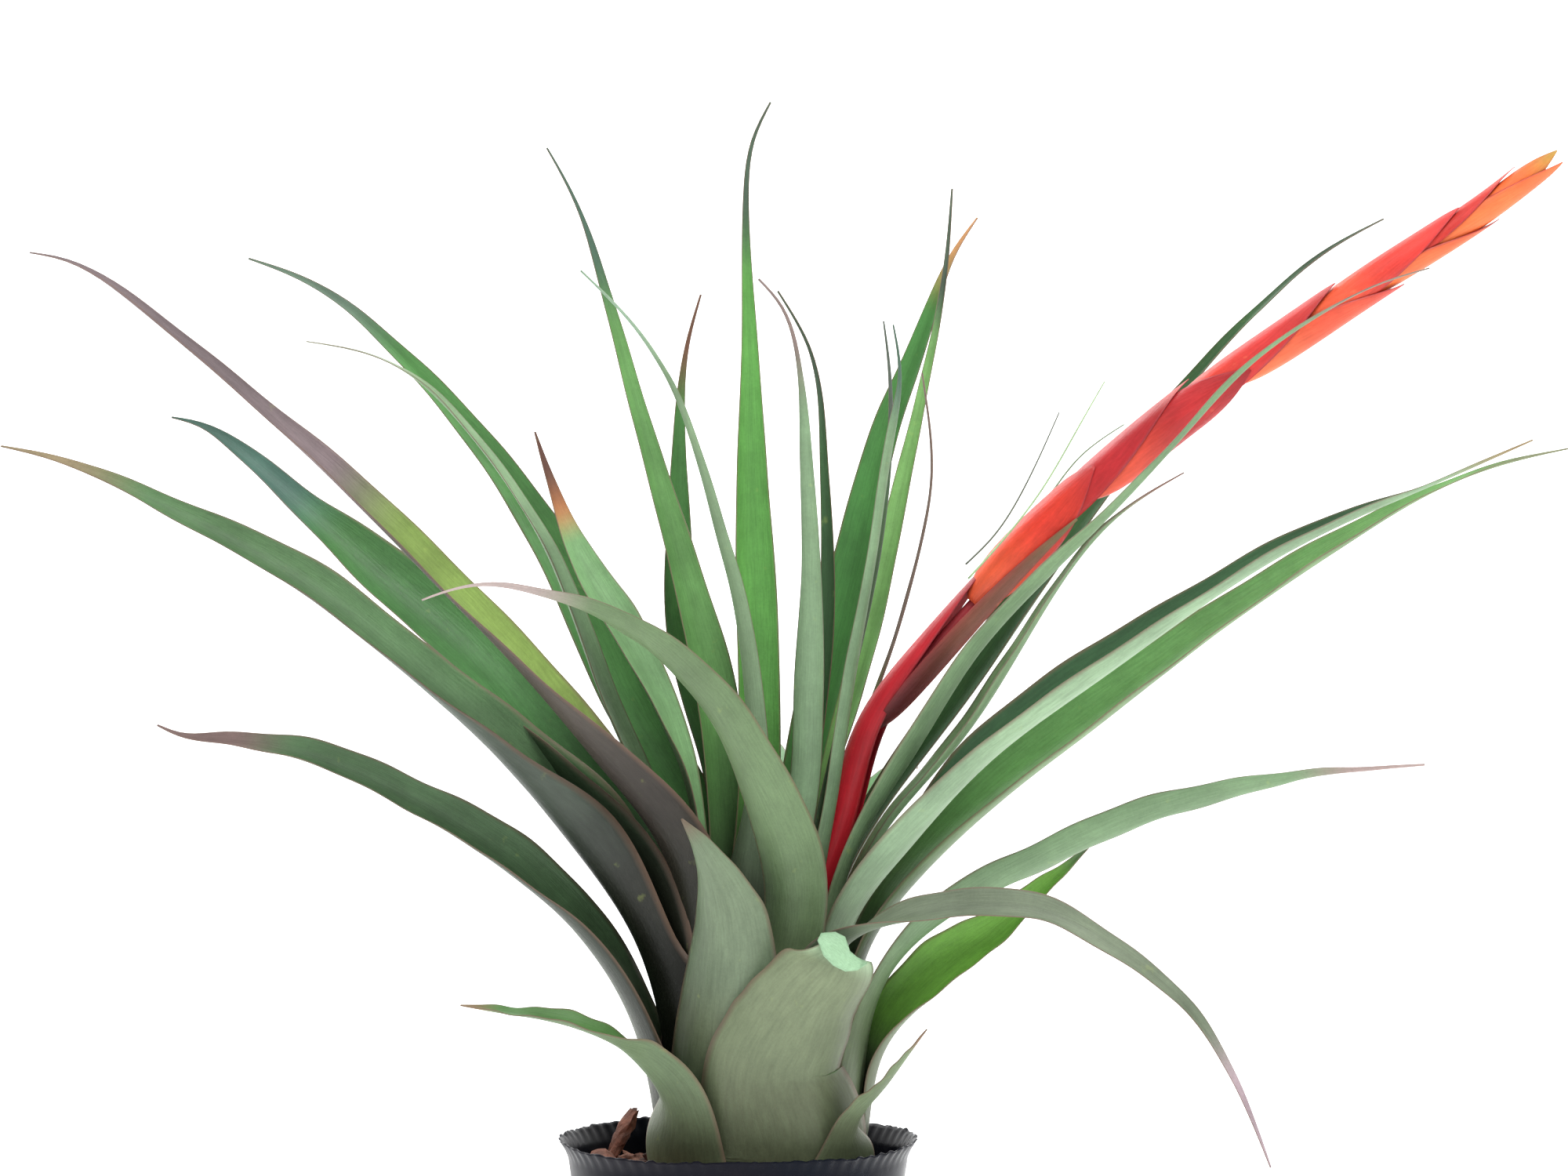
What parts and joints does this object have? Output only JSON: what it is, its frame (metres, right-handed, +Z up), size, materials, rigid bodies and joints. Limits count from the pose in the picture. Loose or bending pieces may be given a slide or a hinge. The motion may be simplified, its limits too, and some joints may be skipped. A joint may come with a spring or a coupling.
{
  "type": "potted bromeliad",
  "caption": "Potted bromeliad: a rosette of long grey-green channelled leaves with one leaning red and orange flower spike, in a soft black nursery pot filled with bark.",
  "frame": {"origin": "centre of the pot's flat underside", "axes": "+Z up; the flower spike leans towards +X; the front of the plant faces -Y"},
  "size_m": [0.6545, 0.3169, 0.5594],
  "materials": {
    "leaf": "satin",
    "bract": "satin",
    "stem": "matte",
    "bark": "matte",
    "pot": "gloss"
  },
  "bodies": {
    "root": {"leaf_low_right": "leaf", "leaf_low_left": "leaf", "leaf_front_torn": "leaf", "leaf_right_low": "leaf", "leaf_left_mid": "leaf", "leaf_front_short": "leaf", "leaf_right_out": "leaf", "leaf_front_arch": "leaf", "leaf_right_wide": "leaf", "leaf_left_long": "leaf", "leaf_front_curl": "leaf", "leaf_right_upper": "leaf", "leaf_left_wide": "leaf", "leaf_left_dark": "leaf", "leaf_left_thread": "leaf", "leaf_left_back": "leaf", "leaf_left_inner": "leaf", "leaf_right_slim": "leaf", "leaf_right_spear": "leaf", "leaf_right_back": "leaf", "leaf_left_green": "leaf", "leaf_left_tall": "leaf", "leaf_left_sliver": "leaf", "leaf_right_inner": "leaf", "leaf_right_bright": "leaf", "leaf_centre_pale": "leaf", "leaf_centre_tall": "leaf", "leaf_right_pale": "leaf", "leaf_centre_dark": "leaf", "leaf_right_dark": "leaf", "leaf_right_dry": "leaf", "leaf_back_low": "leaf", "leaf_back_right": "leaf", "leaf_back_left": "leaf", "leaf_back_mid": "leaf", "leaf_back_slim": "leaf", "scape_bract_low": "bract", "scape_bract_front": "bract", "bract_1": "bract", "bract_2": "bract", "bract_3": "bract", "bract_4": "bract", "bract_5": "bract", "bract_6": "bract", "bract_7": "bract", "bract_8": "bract", "bract_9": "bract", "bract_10": "bract", "spike_thread_1": "leaf", "spike_thread_2": "leaf", "spike_thread_3": "leaf", "spike_stem": "stem", "rootstock": "stem", "bark_bed": "bark", "bark_chip_1": "bark", "bark_chip_2": "bark", "bark_chip_3": "bark", "pot": "pot"}
  },
  "joints": []
}
